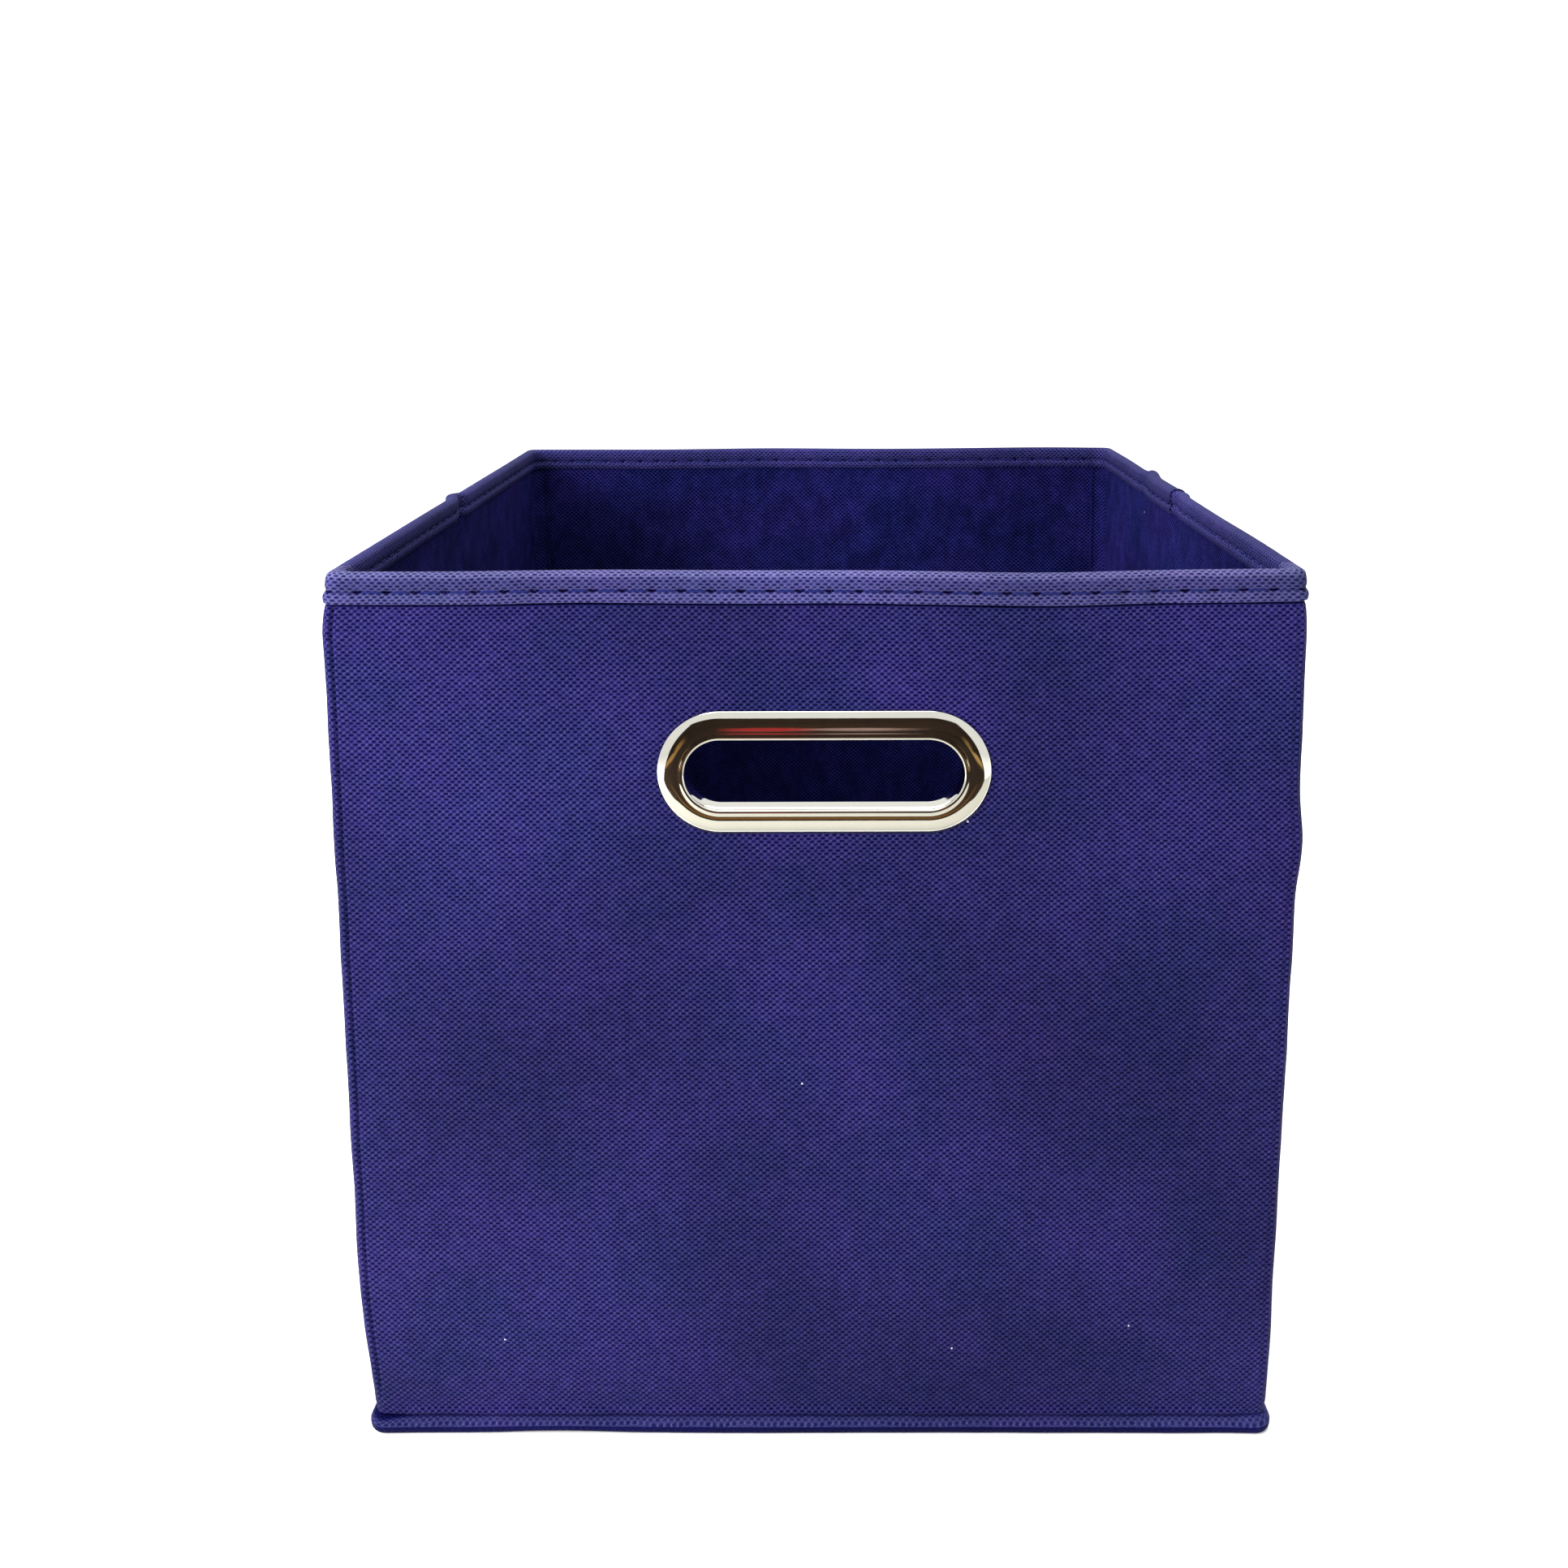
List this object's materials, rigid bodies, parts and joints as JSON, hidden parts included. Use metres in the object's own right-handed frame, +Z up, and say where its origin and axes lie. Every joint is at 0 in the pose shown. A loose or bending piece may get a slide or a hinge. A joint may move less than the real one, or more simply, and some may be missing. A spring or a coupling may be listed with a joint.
{
  "type": "folding fabric storage bin",
  "caption": "Square open-topped storage bin of boarded cloth walls with a bound rim, an oval metal grommet handle and a loose base insert; the walls fold flat.",
  "frame": {"origin": "on the floor under the middle of the bin", "axes": "+Z up, -Y towards the front wall with the grommet, +X to the right seen from the front"},
  "size_m": [0.2829, 0.2833, 0.2746],
  "materials": {
    "cover_cloth": "matte",
    "lining_cloth": "matte",
    "binding_cloth": "matte",
    "base_cloth": "matte",
    "insert_cloth": "matte",
    "thread": "satin",
    "wall_board": "matte",
    "grommet_metal": "polished"
  },
  "bodies": {
    "back_wall": {"back_board": "wall_board", "back_cover": "cover_cloth", "back_lining": "lining_cloth", "back_rim_binding": "binding_cloth", "back_rim_stitching": "thread", "back_left_corner": "cover_cloth", "back_right_corner": "cover_cloth", "base_cloth": "base_cloth", "base_binding": "binding_cloth"},
    "left_rear_wall": {"left_rear_board": "wall_board", "left_rear_cover": "cover_cloth", "left_rear_lining": "lining_cloth", "left_rear_rim_binding": "binding_cloth", "left_rear_rim_stitching": "thread"},
    "left_front_wall": {"left_front_board": "wall_board", "left_front_cover": "cover_cloth", "left_front_lining": "lining_cloth", "left_front_rim_binding": "binding_cloth", "left_front_rim_stitching": "thread"},
    "front_wall": {"front_board": "wall_board", "front_cover": "cover_cloth", "front_lining": "lining_cloth", "front_rim_binding": "binding_cloth", "front_rim_stitching": "thread", "front_left_corner": "cover_cloth", "front_right_corner": "cover_cloth", "grommet_front_ring": "grommet_metal", "grommet_back_ring": "grommet_metal"},
    "right_front_wall": {"right_front_board": "wall_board", "right_front_cover": "cover_cloth", "right_front_lining": "lining_cloth", "right_front_rim_binding": "binding_cloth", "right_front_rim_stitching": "thread"},
    "right_rear_wall": {"right_rear_board": "wall_board", "right_rear_cover": "cover_cloth", "right_rear_lining": "lining_cloth", "right_rear_rim_binding": "binding_cloth", "right_rear_rim_stitching": "thread", "rim_binding_end": "binding_cloth", "tape_end_stitching": "thread"},
    "base_insert": {"insert_board": "wall_board", "insert_cover": "insert_cloth"}
  },
  "joints": [
    {"name": "left_rear_fold", "type": "hinge", "parent": "back_wall", "child": "left_rear_wall", "pos_m": [-0.1358, 0.1315, 0], "axis": [0, 0, 1], "range_deg": [0, 89], "deforming": ["base_cloth", "base_binding"]},
    {"name": "left_front_fold", "type": "hinge", "parent": "left_rear_wall", "child": "left_front_wall", "pos_m": [-0.1415, 0, 0], "axis": [0, 0, 1], "range_deg": [-178, 0]},
    {"name": "front_left_fold", "type": "hinge", "parent": "left_front_wall", "child": "front_wall", "pos_m": [-0.1358, -0.1315, 0], "axis": [0, 0, 1], "range_deg": [0, 89]},
    {"name": "right_rear_fold", "type": "hinge", "parent": "back_wall", "child": "right_rear_wall", "pos_m": [0.1358, 0.1315, 0], "axis": [0, 0, 1], "range_deg": [-89, 0]},
    {"name": "right_front_fold", "type": "hinge", "parent": "right_rear_wall", "child": "right_front_wall", "pos_m": [0.1415, 0, 0], "axis": [0, 0, 1], "range_deg": [0, 178]},
    {"name": "insert_tilt", "type": "hinge", "parent": "back_wall", "child": "base_insert", "pos_m": [0, 0.134, 0.0024], "axis": [-1, 0, 0], "range_deg": [0, 90]}
  ],
  "couplings": [
    {"joint": "left_front_fold", "follows": "left_rear_fold", "ratio": -2},
    {"joint": "front_left_fold", "follows": "left_rear_fold", "ratio": 1},
    {"joint": "right_rear_fold", "follows": "left_rear_fold", "ratio": -1},
    {"joint": "right_front_fold", "follows": "left_rear_fold", "ratio": 2}
  ]
}
